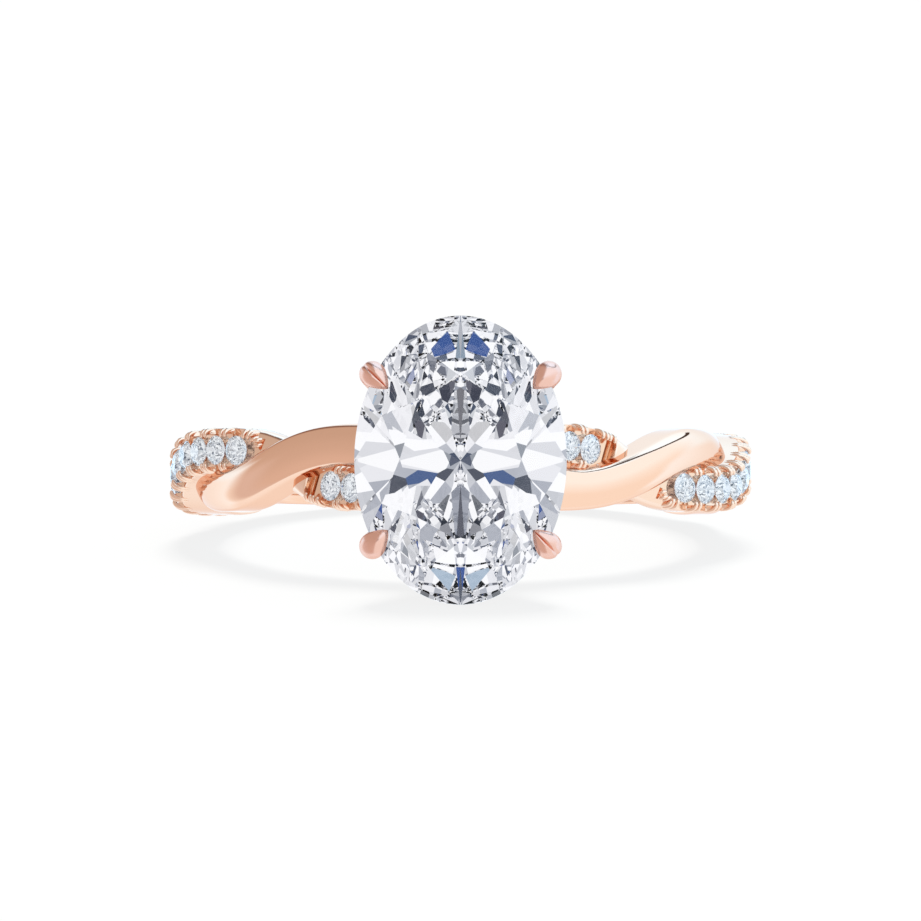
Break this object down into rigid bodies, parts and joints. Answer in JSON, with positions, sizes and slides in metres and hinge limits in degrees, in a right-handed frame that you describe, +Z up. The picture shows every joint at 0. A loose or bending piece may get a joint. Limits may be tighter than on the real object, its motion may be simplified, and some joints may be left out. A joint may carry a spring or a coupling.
{
  "type": "twisted shank ring",
  "caption": "Finger ring with a polished strand and a stone-set strand twisted together and an oval brilliant held by pointed claws.",
  "frame": {"origin": "middle of the underside of the ring's box, on the surface that the ring lies on", "axes": "+Z up from that surface, -Y towards the head and its oval stone, X across the ring"},
  "size_m": [0.0204, 0.0248, 0.0097],
  "materials": {
    "rose_gold": "polished 14 carat rose gold",
    "diamond": "clear, polished facets"
  },
  "bodies": {
    "root": {"shank_and_head": "rose_gold", "oval_stone": "diamond", "pave_stone_right_1": "diamond", "pave_stone_right_2": "diamond", "pave_stone_right_3": "diamond", "pave_stone_right_4": "diamond", "pave_stone_right_5": "diamond", "pave_stone_right_6": "diamond", "pave_stone_right_7": "diamond", "pave_stone_right_8": "diamond", "pave_stone_right_9": "diamond", "pave_stone_right_10": "diamond", "pave_stone_right_11": "diamond", "pave_stone_right_12": "diamond", "pave_stone_right_13": "diamond", "pave_stone_left_1": "diamond", "pave_stone_left_2": "diamond", "pave_stone_left_3": "diamond", "pave_stone_left_4": "diamond", "pave_stone_left_5": "diamond", "pave_stone_left_6": "diamond", "pave_stone_left_7": "diamond", "pave_stone_left_8": "diamond", "pave_stone_left_9": "diamond", "pave_stone_left_10": "diamond", "pave_stone_left_11": "diamond", "pave_stone_left_12": "diamond", "pave_stone_left_13": "diamond"}
  },
  "joints": []
}
